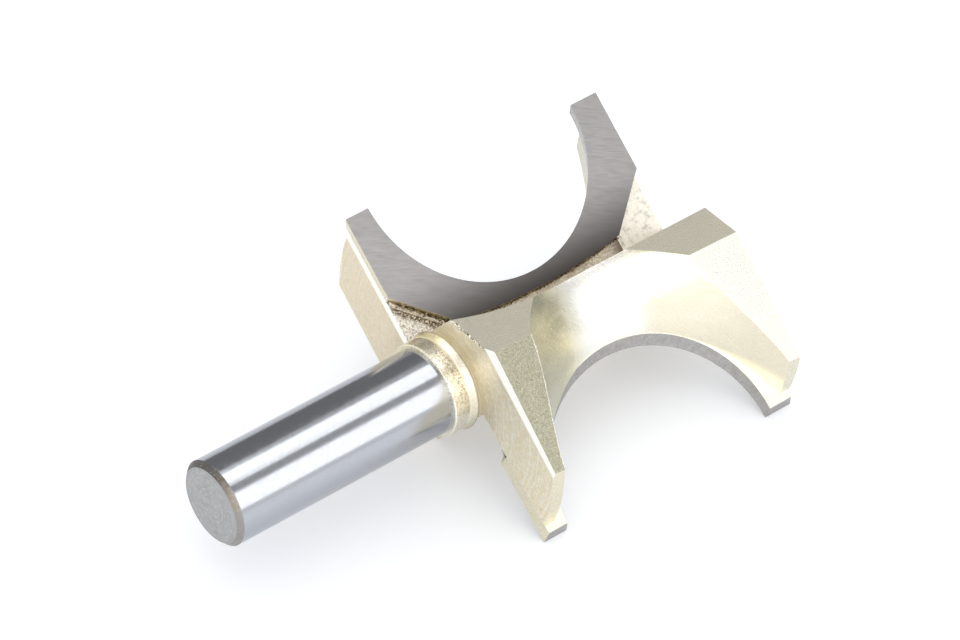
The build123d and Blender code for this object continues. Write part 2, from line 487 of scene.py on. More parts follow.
# %% Collar and ring
def stippled_collar():
    top_shade_gold, brown = rgb(0.74, 0.68, 0.45), rgb(0.34, 0.275, 0.18)
    tree, axes = new_metal("stippled_collar", 0.012)
    rows = add_node(tree, "ShaderNodeMapping", Vector=axes, Scale=(1.0, 0.75, 0.75))
    dots = use_group(tree, grain, Vector=rows.outputs[0], Size=0.13)
    lines = use_group(tree, rings, Vector=axes, Along=1.0, Pitch=0.14, Breakup=0.3)
    along, out, _ = along_out_ahead(tree, axes)
    crowd = span(tree, along, collar_start, ring_line, 0.45, 0.85)
    marks = span(tree, times_plus(tree, lines["Tone"], 0.55, dots["Cell"]), 0.75, 1.15)
    # Painted shade: the collar's top is painted a darker, deeper gold, with fewer marks.
    top_shade = span(tree, out, 2.5, 6.5, 0.0, 0.7)
    base = mixed(tree, BRIGHT_GOLD, top_shade_gold, top_shade)
    crowd = times(tree, crowd, span(tree, top_shade, 0.0, 0.7, 1.0, 0.45))
    crowd = times(tree, crowd, span(tree, out, -6.5, -2.0, 0.35, 1.0))
    colour = tinge(tree, base, brown, marks, crowd)
    height = minus(tree, times(tree, lines["Height"], 0.5), marks)
    set_marks(tree, colour, height, dots["Tone"], 0.24, 0.4)


def bright_ring():
    turned, stained = rgb(0.86, 0.80, 0.62), rgb(0.74, 0.64, 0.38)
    top_shade_gold, brown = rgb(0.75, 0.62, 0.30), rgb(0.40, 0.33, 0.20)
    dirt_and_shade = rgb(0.30, 0.25, 0.16)
    tree, axes = new_metal("bright_ring", 0.03)
    lines = use_group(tree, rings, Vector=axes, Along=1.0, Pitch=0.15, Breakup=0.2)
    dots = use_group(tree, grain, Vector=axes, Size=0.16)
    stain = use_group(tree, blotches, Vector=axes, Size=1.8, Cover=0.42)
    along, out, _ = along_out_ahead(tree, axes)
    colour = mixed(tree, PALE_GOLD, turned, lines["Tone"])
    colour = tinge(tree, colour, stained, stain["Mask"], 0.3)
    # Painted shade: the ring's top is painted a darker, deeper gold.
    colour = mixed(tree, colour, top_shade_gold, span(tree, out, 3.0, 6.0, 0.0, 0.6))
    colour = mixed(tree, colour, brown, span(tree, dots["Cell"], 0.6, 1.0, 0.0, 0.3))
    # Painted shade: the ring is painted dark in the crease where it meets the head.
    crease_shade = span(tree, along, head_near - 0.2, head_near, 0.0, 0.7)
    colour = mixed(tree, colour, dirt_and_shade, crease_shade)
    set_marks(tree, colour, dots["Height"], dots["Tone"], 0.3, 0.42)


make(stippled_collar, bright_ring)


# %% Head facets
def turned_face():
    arms_gold, shaded_hub_gold = rgb(0.89, 0.80, 0.60), rgb(0.64, 0.57, 0.43)
    shaded_gold = rgb(0.74, 0.65, 0.50)
    oil, pits = rgb(0.42, 0.37, 0.29), rgb(0.48, 0.42, 0.30)
    hub_edge, arms_start = 9.0, 13.0
    tree, axes = new_metal("turned_face", 0.016)
    lines = use_group(tree, rings, Vector=axes, Pitch=0.42, Breakup=0.45)
    speck = use_group(tree, grain, Vector=axes, Size=0.16)
    stain = use_group(tree, blotches, Vector=axes, Size=1.1, Cover=0.32)
    _, out, ahead = along_out_ahead(tree, axes)
    across = add_node(tree, "ShaderNodeCombineXYZ", X=out, Y=ahead).outputs[0]
    radius = add_node(tree, "ShaderNodeVectorMath", {"operation": "LENGTH"},
                      _0=across).outputs["Value"]
    # Painted shade: the face is painted darker close to the collar, fading out towards the
    # arms.
    hub_shade = span(tree, radius, hub_edge, arms_start, 0.75, 0.0)
    base = mixed(tree, arms_gold, shaded_hub_gold, hub_shade)
    arcs = times(tree, span(tree, lines["Tone"], 0.35, 0.95),
                 span(tree, radius, hub_edge, arms_start, 0.35, 0.9))
    # Painted shade: wing A's half of the face is painted duller, and its turning arcs
    # fainter.
    wing_a_shade = span(tree, ahead, -1.0, 1.0, 1.0, 0.0)
    arcs = times(tree, arcs, minus(tree, 1.0, times(tree, wing_a_shade, 0.75)))
    base = tinge(tree, base, shaded_gold, wing_a_shade, 0.6)
    colour = mixed(tree, base, BRIGHT_GOLD, arcs)
    colour = tinge(tree, colour, oil, stain["Mask"], 0.35)
    colour = mixed(tree, colour, pits, span(tree, speck["Cell"], 0.5, 1.0, 0.0, 0.22))
    height = times_plus(tree, speck["Height"], 0.9, lines["Height"])
    set_marks(tree, colour, height, speck["Tone"], 0.34, 0.5)


def etched_facet():
    far_highlight_gold, glint = rgb(0.97, 0.95, 0.86), rgb(0.95, 0.92, 0.8)
    shade = rgb(0.17, 0.15, 0.09)
    even_end = 12.0
    tree, axes = new_metal("etched_facet", 0.035)
    speck = use_group(tree, grain, Vector=axes, Size=0.2)
    fine = use_group(tree, grain, Vector=axes, Size=0.12)
    along = along_out_ahead(tree, axes)[0]
    # Partly the facet's own greenish tone, partly painted light: the near end is painted
    # dark green-gold as painted shade, the far end near white as a painted highlight, and
    # the darker grain thins out towards the far end.
    far_share = span(tree, along, head_near + even_end, head_far - even_end)
    base = mixed(tree, SHADED_GREEN_GOLD, far_highlight_gold, far_share)
    darker = mixed(tree, base, shade, 0.6)
    colour = tinge(tree, base, darker, speck["Tone"],
                   span(tree, far_share, 0.0, 1.0, 0.9, 0.28))
    colour = tinge(tree, colour, glint, fine["Cell"],
                   span(tree, far_share, 0.0, 1.0, 0.3, 0.1))
    height = times_plus(tree, fine["Height"], 0.5, speck["Height"])
    set_marks(tree, colour, height, speck["Tone"], 0.28, 0.44)


def milled_facet():
    shade, streak = rgb(0.50, 0.47, 0.37), rgb(0.86, 0.83, 0.72)
    pit = rgb(0.34, 0.32, 0.26)
    tree, axes = new_metal("milled_facet", 0.02)
    speck = use_group(tree, grain, Vector=axes, Size=0.22)
    marks = use_group(tree, streaks, Vector=axes, Angle=radians(12), Size=(2.5, 0.3, 0.3))
    pits = use_group(tree, blotches, Vector=axes, Size=0.45, Cover=0.3)
    colour = tinge(tree, MILLED_GOLD, shade, speck["Tone"], 0.55)
    colour = tinge(tree, colour, streak, marks["Tone"], 0.2)
    colour = tinge(tree, colour, pit, pits["Mask"], 0.7)
    height = minus(tree, speck["Height"], times(tree, pits["Mask"], 1.5))
    set_marks(tree, colour, height, speck["Tone"], 0.3, 0.42)


def turned_scoop():
    painted_highlight_gold, rich_gold = rgb(0.98, 0.97, 0.92), rgb(0.97, 0.89, 0.62)
    warm_gold, shaded_gold = rgb(0.95, 0.88, 0.70), rgb(0.55, 0.54, 0.46)
    painted_shade_in, painted_shade_out = rgb(0.47, 0.455, 0.34), rgb(0.74, 0.715, 0.55)
    shade, dust = rgb(0.36, 0.33, 0.22), rgb(0.33, 0.30, 0.20)
    glint = rgb(0.95, 0.93, 0.82)
    painted_shade_ends = (head_near + 11.5, head_near + 17.0)
    rich_ends = (head_near + 14, head_near + 20.5)
    painted_highlight_ends = (head_middle + 4, head_middle + 9)
    warm_ends = (head_middle + 5, head_middle + 10)
    tree, axes = new_metal("turned_scoop", 0.014)
    lines = use_group(tree, rings, Vector=axes, Axis_U=-relief_in, Axis_V=relief_ahead,
                      Along=0.6, Pitch=0.35, Breakup=0.2)
    speck = use_group(tree, grain, Vector=axes, Size=0.18)
    wash = use_group(tree, blotches, Vector=axes, Size=5.0, Cover=0.5)
    dirt_and_shade = use_group(tree, blotches, Vector=axes, Size=0.7, Cover=0.33)
    scratches = use_group(tree, streaks, Vector=axes, Angle=radians(50),
                          Size=(3.0, 0.08, 0.5))
    place = use_group(tree, from_blade, Vector=axes)
    along = place["Along"]
    # Painted light along h: the near end is painted dark olive as painted shade, lighter
    # further out, then a band of rich gold, a painted highlight in the middle, and a
    # warmer far end.
    near = span(tree, times_plus(tree, wash["Mask"], -2.0, along), *painted_shade_ends, 1.0, 0.0)
    colour = tinge(tree, GOLD, PALE_GOLD, wash["Mask"], 0.5)
    colour = mixed(tree, colour, painted_highlight_gold, span(tree, along, *painted_highlight_ends, 0.95, 0.0))
    colour = mixed(tree, colour, rich_gold, span(tree, along, *rich_ends, 0.9, 0.0))
    colour = mixed(tree, colour, warm_gold, span(tree, along, *warm_ends, 0.0, 0.65))
    painted_shade = mixed(tree, painted_shade_in, painted_shade_out, span(tree, place["Out"], 0.5, 5.5))
    colour = mixed(tree, colour, painted_shade, near)
    # The darker grain and the dust blotches keep to the painted shade.
    colour = tinge(tree, colour, shade, speck["Tone"],
                   span(tree, near, 0.0, 1.0, 0.05, 0.22))
    colour = tinge(tree, colour, dust, times(tree, near, dirt_and_shade["Mask"]), 0.3)
    colour = tinge(tree, colour, glint, speck["Sparkle"], 0.35)
    # Painted shade: the scoop of wing A, which faces down, is painted duller.
    ahead = along_out_ahead(tree, axes)[2]
    colour = mixed(tree, colour, shaded_gold, span(tree, ahead, -1.0, 1.0, 0.7, 0.0))
    height = times_plus(tree, speck["Height"], 0.9, times(tree, lines["Height"], 0.6))
    height = times_plus(tree, scratches["Height"], 0.12, height)
    set_marks(tree, colour, height, scratches["Tone"], 0.26, 0.34)


def bright_strip():
    tree, axes = new_metal("bright_strip", 0.004)
    speck = use_group(tree, grain, Vector=axes, Size=0.2)
    colour = tinge(tree, rgb(0.99, 0.98, 0.94), PALE_GOLD, speck["Tone"], 0.2)
    set_marks(tree, colour, speck["Height"], speck["Tone"], 0.2, 0.28)


def sandy_seat():
    light, dark = rgb(0.93, 0.89, 0.80), rgb(0.46, 0.40, 0.31)
    oil, burnt = rgb(0.42, 0.36, 0.27), rgb(0.30, 0.235, 0.15)
    grey, glint = rgb(0.40, 0.41, 0.34), rgb(0.98, 0.95, 0.88)
    far_share = 0.25
    tree, axes = new_metal("sandy_seat", 0.03)
    sand = use_group(tree, grain, Vector=axes, Size=0.14)
    stain = use_group(tree, blotches, Vector=axes, Size=1.2, Cover=0.4)
    place = use_group(tree, from_blade, Vector=axes, Ripple=0.8)
    burn_and_shade = span(tree, place["Distance"], 0.6, 2.0, 0.35, 0.0)
    near_end = span(tree, place["Along"], head_middle - 4, head_middle + 4,
                    1.0, far_share)
    colour = tinge(tree, light, dark, span(tree, sand["Cell"], 0.3, 1.0), near_end)
    colour = tinge(tree, colour, oil, stain["Mask"], 0.25)
    colour = tinge(tree, colour, burnt, burn_and_shade, near_end)
    colour = tinge(tree, colour, grey, stain["Mask"],
                   span(tree, near_end, far_share, 1.0, 0.55, 0.0))
    colour = tinge(tree, colour, glint, sand["Sparkle"],
                   span(tree, near_end, far_share, 1.0, 0.0, 0.6))
    set_marks(tree, colour, sand["Height"], sand["Tone"], 0.34, 0.55)


def gullet_wall():
    light, dark = rgb(0.74, 0.67, 0.52), rgb(0.5, 0.44, 0.32)
    brown = rgb(0.45, 0.36, 0.27)
    tree, axes = new_metal("gullet_wall", 0.03)
    coarse = use_group(tree, grain, Vector=axes, Size=0.25)
    stain = use_group(tree, blotches, Vector=axes, Size=2.0, Cover=0.5)
    colour = tinge(tree, light, dark, coarse["Tone"], 0.5)
    colour = tinge(tree, colour, brown, stain["Mask"], 0.2)
    set_marks(tree, colour, coarse["Height"], coarse["Tone"], 0.34, 0.5)


make(turned_face, etched_facet, milled_facet, turned_scoop, bright_strip, sandy_seat,
     gullet_wall)

# %% [markdown]
# ## Finishes of the blades and the braze
# Carbide is ground, so its flat face and its half round carry fine straight scratches,
# and its flat face is painted darker towards the joint, a painted shade where the gullet
# darkens what it reflects. The rim and the back of a blade take the same gold wash as the
# head. The braze is burnt dark at the blade, with a crust of flux.

# %% Blade finishes
def ground_carbide():
    light, grey = rgb(0.55, 0.535, 0.525), rgb(0.42, 0.40, 0.385)
    shade_end = 16.0
    tree, axes = new_metal("ground_carbide", 0.0015)
    broad = use_group(tree, streaks, Vector=axes, Angle=radians(30), Size=(4.0, 0.9, 0.9))
    fine = use_group(tree, streaks, Vector=axes, Angle=radians(24),
                     Size=(2.5, 0.22, 0.22))
    wash = use_group(tree, blotches, Vector=axes, Size=5.0, Cover=0.5)
    place = use_group(tree, from_blade, Vector=axes)
    colour = tinge(tree, CARBIDE, DARK_CARBIDE, broad["Tone"], 0.6)
    colour = tinge(tree, colour, light, fine["Tone"], 0.25)
    colour = tinge(tree, colour, grey, wash["Mask"], 0.25)
    # Painted shade: the flat face is painted near black at its inner edge, fading out 16
    # mm from the axis.
    burn_and_shade = span(tree, place["Out"], inner_edge_out - 2.5, shade_end, 0.95, 0.0)
    colour = mixed(tree, colour, SHADED_CARBIDE, burn_and_shade)
    height = plus(tree, broad["Height"], fine["Height"])
    set_marks(tree, colour, height, fine["Tone"], 0.29, 0.38)


def ground_hollow():
    light, dark = rgb(0.48, 0.465, 0.45), rgb(0.27, 0.26, 0.255)
    fine_grey = rgb(0.48, 0.46, 0.445)
    tree, axes = new_metal("ground_hollow", 0.01)
    broad = use_group(tree, streaks, Vector=axes, Size=(0.65, 0.65, 30.0))
    fine = use_group(tree, streaks, Vector=axes, Size=(0.45, 0.45, 30.0))
    colour = tinge(tree, light, dark, broad["Tone"], 0.5)
    colour = tinge(tree, colour, fine_grey, fine["Tone"], 0.6)
    height = plus(tree, broad["Height"], fine["Height"])
    set_marks(tree, colour, height, fine["Tone"], 0.24, 0.36)


def washed(name, light, dark):
    """The gold wash where it runs over the rim and the blade's back."""
    streak, near_gold = rgb(0.6, 0.57, 0.48), rgb(0.80, 0.72, 0.52)
    tree, axes = new_metal(name, 0.015)
    speck = use_group(tree, grain, Vector=axes, Size=0.2)
    marks = use_group(tree, streaks, Vector=axes, Angle=radians(90), Size=(3.0, 0.3, 0.3))
    colour = tinge(tree, light, dark, speck["Tone"], 0.7)
    colour = tinge(tree, colour, streak, marks["Tone"], 0.2)
    along = along_out_ahead(tree, axes)[0]
    near = span(tree, along, head_near + 4, head_near + 9, 0.35, 0.0)
    colour = mixed(tree, colour, near_gold, near)
    set_marks(tree, colour, speck["Height"], speck["Tone"], 0.32, 0.45)


def washed_rim():
    washed("washed_rim", PALE_GOLD, rgb(0.60, 0.55, 0.38))


def washed_ledge():
    washed("washed_ledge", rgb(0.99, 0.97, 0.86), MILLED_GOLD)


make(ground_carbide, ground_hollow, washed_rim, washed_ledge)


# %% Braze
def burnt_braze():
    flux, dark_flux = rgb(0.88, 0.82, 0.71), rgb(0.46, 0.40, 0.32)
    brown = rgb(0.30, 0.24, 0.16)
    tree, axes = new_metal("burnt_braze", 0.07)
    coarse = use_group(tree, grain, Vector=axes, Size=0.3)
    char = use_group(tree, blotches, Vector=axes, Size=0.9, Cover=0.5)
    place = use_group(tree, from_blade, Vector=axes, Ripple=0.5)
    burnt = mixed(tree, BRAZE, DARK_BRAZE, char["Mask"])
    crust = tinge(tree, flux, dark_flux, coarse["Tone"], 0.8)
    crust = tinge(tree, crust, brown, char["Mask"], 0.35)
    # Painted shadow: the braze is painted darker towards the blade's far corner.
    far_corner_shadow = span(tree, place["Along"], head_far - bevel_run - 2.5, head_far - bevel_run)
    colour = mixed(tree, burnt, crust, span(tree, place["Distance"], 0.06, 0.32))
    colour = tinge(tree, colour, DARK_BRAZE, far_corner_shadow, 0.8)
    set_marks(tree, colour, coarse["Height"], coarse["Tone"], 0.36, 0.6)


def braze_lumps():
    fresh_braze, green = rgb(0.52, 0.42, 0.25), rgb(0.30, 0.27, 0.15)
    tree, axes = new_metal("braze_lumps", 0.05)
    coarse = use_group(tree, grain, Vector=axes, Size=0.25)
    char = use_group(tree, blotches, Vector=axes, Size=0.8, Cover=0.55)
    colour = mixed(tree, fresh_braze, DARK_BRAZE, char["Mask"])
    colour = tinge(tree, colour, green, coarse["Tone"], 0.4)
    set_marks(tree, colour, coarse["Height"], coarse["Tone"], 0.3, 0.5)


make(burnt_braze, braze_lumps)
finish_names = list(finishes)
print(len(finish_names), "finishes in all")

# %% [markdown]
# ## Telling the facets apart
# The frame's meshes are loose triangles, so each is copied and welded first. A facet is
# then known by where it lies and where it looks, in the bit's axes. Flat facets are
# dissolved to single faces, and their edges get a fine bevel, because no real edge is
# perfectly sharp and the rounded edge is what catches the light. Facets could be picked
# by number, but a new export would number them anew, and places stay.

# %% Which finish a face of the steel has
# A normal's part along an axis is near 1 where the face looks squarely along it.
squarely, steeply, aslant = 0.999, 0.9, 0.5
milled_lean = 0.3
etched_lean, level = 0.06, 0.02
hair = 0.01
rim_slack = 0.1
strip_reach = 1.2


def steel_finish(place, normal):
    h, u, v = place
    if h < shank_chamfer:
        return "faced_end" if normal.x < -squarely else "heat_tinted_chamfer"
    if h < collar_start - hair:
        return "ground_shank"
    if h < head_near - hair:
        return "stippled_collar" if h < ring_line + hair else "bright_ring"
    if abs(normal.x) > squarely:
        return "turned_face"
    if normal.z > squarely:
        return "sandy_seat"
    if normal.z > aslant:
        return "bright_strip"
    if abs(v) < seat_depth + hair and u > 0:
        return "gullet_wall"
    if normal.x < -aslant and normal.z < -aslant and h < head_near + strip_reach:
        return "bright_strip"
    from_relief = hypot(u + relief_in, v - relief_ahead)
    if abs(from_relief - rim_radius) < rim_slack and abs(normal.x) < level:
        return "washed_rim"
    if normal.y < -milled_lean and normal.z < -aslant:
        return "milled_facet"
    if abs(normal.x - etched_lean) < level and normal.z < -steeply:
        return "etched_facet"
    if normal.y < -steeply:
        return "gullet_wall"
    return "turned_scoop"


print("the shank gets", steel_finish(Vector((10, 6, 0)), Vector((0, 1, 0))))


# %% Which finish a face of a blade has
def blade_finish(place, normal):
    h, u, _ = place
    if normal.z > steeply:
        return "ground_carbide"
    if normal.z < -steeply:
        return "washed_ledge"
    to_middle = Vector((groove_height - h, groove_out - u, 0)).normalized()
    if to_middle.dot(normal) > aslant:
        return "ground_hollow"
    return "ground_carbide" if normal.y > steeply else "washed_rim"


print("a blade's flat face gets", blade_finish(Vector((50, 15, -3)), Vector((0, 0, 1))))


# %% Copy, weld, paint and bevel
weld_gap = 0.002 * mm
flat_within = radians(0.4)
sharp_from = radians(25)


def dress(node, piece_name, choose, edge_round):
    """A welded copy of a frame node, with a finish on each facet and softened edges."""
    source = frame["nodes"][node]
    mesh = source.data.copy()
    mesh.transform(source.matrix_world)
    mesh.materials.clear()
    for finish in finishes.values():
        mesh.materials.append(finish)
    work = bmesh.new()
    work.from_mesh(mesh)
    bmesh.ops.remove_doubles(work, verts=work.verts, dist=weld_gap)
    work.normal_update()
    for face in work.faces:
        place, normal = as_wing_a(face.calc_center_median(), face.normal)
        face.material_index = finish_names.index(choose(place, normal))
        face.smooth = True
    bmesh.ops.dissolve_limit(work, angle_limit=flat_within, verts=work.verts,
                             edges=work.edges, delimit={"MATERIAL"})
    work.to_mesh(mesh)
    work.free()
    piece = bpy.data.objects.new(piece_name, mesh)
    bpy.context.scene.collection.objects.link(piece)
    bevel = piece.modifiers.new("soft_edges", "BEVEL")
    bevel.width = edge_round * mm
    bevel.segments = 2
    bevel.limit_method = "ANGLE"
    bevel.angle_limit = sharp_from
    weighted = piece.modifiers.new("even_shading", "WEIGHTED_NORMAL")
    weighted.keep_sharp = True
    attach(piece, "root")
    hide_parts(node)
    print(f"{piece_name}: {len(mesh.polygons)} faces before bevels")
    return piece


steel_body = dress("cutter_body", "steel_body", steel_finish, 0.07)
for wing in ("a", "b"):
    dress("blade_" + wing, "carbide_blade_" + wing, blade_finish, 0.03)
    for seam_slot in frame["nodes"]["braze_seam_" + wing].material_slots:
        seam_slot.link = "OBJECT"
        seam_slot.material = finishes["burnt_braze"]

# %% [markdown]
# ## Braze that ran out
# Braze squeezes out of the joint and freezes in small lumps beside the blade. They follow
# the joint, and no two are alike, so Geometry Nodes make them: the tree puts small balls
# along a line, scatters and turns them, and then pushes their skin in and out with noise.
# The same tree makes the crumbs of metal that a cutter leaves on an edge.

# %% A tree that lays crumbs along a line
def make_crumb_tree():
    bumps_per_mm = 4.0
    full_turn = (2 * pi, 2 * pi, 2 * pi)
    tree = bpy.data.node_groups.new("crumbs_along_line", "GeometryNodeTree")
    sockets = {"Geometry": "Geometry", "Spacing": "Float", "Smallest": "Vector",
               "Largest": "Vector", "Scatter": "Vector", "Roughness": "Float",
               "Seed": "Int", "Finish": "Material"}
    for label, kind in sockets.items():
        tree.interface.new_socket(label, in_out="INPUT", socket_type="NodeSocket" + kind)
    tree.interface.new_socket("Geometry", in_out="OUTPUT",
                              socket_type="NodeSocketGeometry")
    given = tree.nodes.new("NodeGroupInput").outputs
    line = add_node(tree, "GeometryNodeMeshToCurve", Mesh=given["Geometry"])
    points = add_node(tree, "GeometryNodeResampleCurve", {"mode": "LENGTH"},
                      Curve=line.outputs[0], Length=given["Spacing"])
    negative = add_node(tree, "ShaderNodeVectorMath", {"operation": "SCALE"},
                        _0=given["Scatter"], Scale=-1.0)
    shift = add_node(tree, "FunctionNodeRandomValue", {"data_type": "FLOAT_VECTOR"},
                     _0=negative.outputs[0], _1=given["Scatter"], Seed=given["Seed"])
    placed = add_node(tree, "GeometryNodeSetPosition", Geometry=points.outputs[0],
                      Offset=shift.outputs[0])
    size = add_node(tree, "FunctionNodeRandomValue", {"data_type": "FLOAT_VECTOR"},
                    _0=given["Smallest"], _1=given["Largest"], Seed=given["Seed"])
    turn = add_node(tree, "FunctionNodeRandomValue", {"data_type": "FLOAT_VECTOR"},
                    _0=(0, 0, 0), _1=full_turn, Seed=given["Seed"])
    ball = add_node(tree, "GeometryNodeMeshIcoSphere", Radius=1.0, Subdivisions=2)
    laid = add_node(tree, "GeometryNodeInstanceOnPoints", Points=placed.outputs[0],
                    Instance=ball.outputs[0], Rotation=turn.outputs[0],
                    Scale=size.outputs[0])
    solid = add_node(tree, "GeometryNodeRealizeInstances", Geometry=laid.outputs[0])
    place = add_node(tree, "GeometryNodeInputPosition")
    outward = add_node(tree, "GeometryNodeInputNormal")
    noise = add_node(tree, "ShaderNodeTexNoise", Vector=place.outputs[0],
                     Scale=bumps_per_mm / mm, Detail=1.0)
    push = times(tree, minus(tree, noise.outputs[0], 0.5), given["Roughness"])
    offset = add_node(tree, "ShaderNodeVectorMath", {"operation": "SCALE"},
                      _0=outward.outputs[0], Scale=push)
    rough = add_node(tree, "GeometryNodeSetPosition", Geometry=solid.outputs[0],
                     Offset=offset.outputs[0])
    smooth = add_node(tree, "GeometryNodeSetShadeSmooth", Geometry=rough.outputs[0])
    painted = add_node(tree, "GeometryNodeSetMaterial", Geometry=smooth.outputs[0],
                       Material=given["Finish"])
    add_node(tree, "NodeGroupOutput", Geometry=painted.outputs[0])
    return tree


crumb_tree = make_crumb_tree()
print("tree:", crumb_tree.name)


# %% From a line to a piece
def line_mesh(name, run):
    """Edges through a run of points, given in the bit's axes."""
    mesh = bpy.data.meshes.new(name)
    points = [bit_to_row @ Vector(point) for point in run]
    mesh.from_pydata(points, [(i, i + 1) for i in range(len(points) - 1)], [])
    return mesh


def grow(name, mesh, finish, seed, spacing, smallest, largest, scatter, roughness):
    """The crumbs that the tree lays along a line, as a piece. Sizes are in mm."""
    guide = bpy.data.objects.new(name + "_guide", mesh)
    bpy.context.scene.collection.objects.link(guide)
    modifier = guide.modifiers.new(crumb_tree.name, "NODES")
    modifier.node_group = crumb_tree
    values = {"Spacing": spacing * mm, "Roughness": roughness * mm, "Seed": seed,
              "Finish": finishes[finish]}
    for label, size in (("Smallest", smallest), ("Largest", largest),
                        ("Scatter", scatter)):
        values[label] = tuple(side * mm for side in size)
    for socket in crumb_tree.interface.items_tree:
        if socket.in_out == "INPUT" and socket.name in values:
            modifier[socket.identifier] = values[socket.name]
    grown = bpy.data.meshes.new_from_object(
        guide.evaluated_get(bpy.context.evaluated_depsgraph_get()))
    bpy.data.objects.remove(guide)
    piece = bpy.data.objects.new(name, grown)
    bpy.context.scene.collection.objects.link(piece)
    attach(piece, "root")
    print(f"{name}: {len(grown.polygons)} faces")


# %% Braze lumps beside each blade
# The lines run through points in h, u and v.
bead_height, line_lift, bow_end = 0.8, 0.3, 7.0
seam_top = -(seat_depth - bead_height)
line_top = seam_top + line_lift
corner_line = [(head_near + 1.2, 12.5, seam_top), (head_near + bevel_run, 6.1, seam_top)]
inner_line = [(head_near + bevel_run, 6.2, line_top),
              (head_middle - bow_end, 5.25, line_top), (head_middle, 5.05, line_top),
              (head_middle + bow_end, 5.25, line_top),
              (head_far - bevel_run, 6.2, line_top)]
beside_corner = Vector((0.60, 0.60, 0.50))
for wing, turn_over in (("a", Matrix.Identity(4)), ("b", half_turn)):
    corner = [turn_over @ Vector(point) for point in corner_line]
    inner = [turn_over @ Vector(point) for point in inner_line]
    grow("braze_lumps_" + wing, line_mesh("corner_" + wing, corner),
         "braze_lumps", seed=4, spacing=0.22, smallest=(0.14, 0.10, 0.10),
         largest=(0.5, 0.34, 0.3), scatter=(0.28, 0.28, 0.22), roughness=0.3)
    outer = [point - turn_over @ beside_corner for point in corner]
    grow("braze_sand_" + wing, line_mesh("outer_" + wing, outer), "sandy_seat",
         seed=6, spacing=0.14, smallest=(0.08, 0.08, 0.06), largest=(0.38, 0.32, 0.2),
         scatter=(0.35, 0.35, 0.2), roughness=0.25)
    grow("braze_line_" + wing, line_mesh("inner_" + wing, inner), "braze_lumps",
         seed=9, spacing=0.3, smallest=(0.05, 0.05, 0.05), largest=(0.28, 0.14, 0.14),
         scatter=(0.1, 0.12, 0.1), roughness=0.12)


# %% [markdown]
# ## Burrs on the edges
# Turning and milling leave torn crumbs and fine lips of metal on the edges between
# facets. Their lines are the steel's own edges between two finishes. The lines keep a
# little way in from the sides of the solids' box, so that no crumb reaches past it.

# %% Where two finishes of the steel meet
crumb_room = 0.3 * mm


def shared_edges(first, second):
    """The upper edges between two finishes, in the shank's half of the head, as lines."""
    pair = {finish_names.index(first), finish_names.index(second)}
    work = bmesh.new()
    work.from_mesh(steel_body.data)
    spare = []
    for edge in work.edges:
        found = {face.material_index for face in edge.link_faces} == pair
        near_side = all((vertex.co.x - shank_end) / mm < head_middle
                        for vertex in edge.verts)
        on_top = all(vertex.co.z > axis_height for vertex in edge.verts)
        if not (found and near_side and on_top):
            spare.append(edge)
    bmesh.ops.delete(work, geom=spare, context="EDGES")
    loose = [vertex for vertex in work.verts if not vertex.link_edges]
    bmesh.ops.delete(work, geom=loose, context="VERTS")
    bmesh.ops.delete(work, geom=work.faces[:], context="FACES_ONLY")
    for vertex in work.verts:
        for axis in (1, 2):
            low, high = cad_bounds[0][axis] + crumb_room, cad_bounds[1][axis] - crumb_room
            vertex.co[axis] = min(max(vertex.co[axis], low), high)
    mesh = bpy.data.meshes.new(first + "_to_" + second)
    work.to_mesh(mesh)
    work.free()
    print(f"{mesh.name}: {len(mesh.edges)} edges")
    return mesh


burr_line = shared_edges("turned_face", "milled_facet")
for tone, finish, seed in (("dark", "braze_lumps", 3), ("bright", "bright_strip", 8)):
    grow("edge_crumbs_" + tone, burr_line.copy(), finish, seed=seed,
         spacing=0.17, smallest=(0.04, 0.04, 0.04), largest=(0.18, 0.14, 0.12),
         scatter=(0.12, 0.14, 0.14), roughness=0.08)

for first, second in (("etched_facet", "turned_scoop"), ("turned_face", "washed_rim")):
    grow(first + "_lip", shared_edges(first, second), "bright_strip",
         seed=5, spacing=0.10, smallest=(0.03, 0.03, 0.03), largest=(0.13, 0.08, 0.07),
         scatter=(0.04, 0.05, 0.05), roughness=0.04)

# %% [markdown]
# ## Camera
# The camera looks down on the bit from beyond the shank's end with a long lens, as a
# product picture does, and it is rolled a little.

# %% Camera
camera_place = Vector((-0.3221, -0.3349, 0.4888))
camera_aim = Vector((0.0090, 0.0064, 0.0120))
camera_roll = radians(6.51)
camera = bpy.data.objects.new("camera", bpy.data.cameras.new("camera"))
camera.data.sensor_width = 36.0
camera.data.lens = 181.66
forward = (camera_aim - camera_place).normalized()
rolled = Matrix.Rotation(camera_roll, 4, "Z").to_quaternion()
turn = forward.to_track_quat("-Z", "Y") @ rolled
camera.matrix_world = Matrix.Translation(camera_place) @ turn.to_matrix().to_4x4()
bpy.context.scene.collection.objects.link(camera)
bpy.context.scene.camera = camera
print("camera", [round(c, 3) for c in camera_place])

# %% [markdown]
# ## Floor and light
# Metal shows what stands around it, so a picture of it is made by placing bright and
# grey things where its facets look. The floor is white paper. A wide softbox stands in
# front of the bit, and three smaller ones hang high over its far end, its middle and its
# far side. A grey wall past the head's end, a dark wall on the far side and a grey
# ceiling give the bright steel its darker bands.

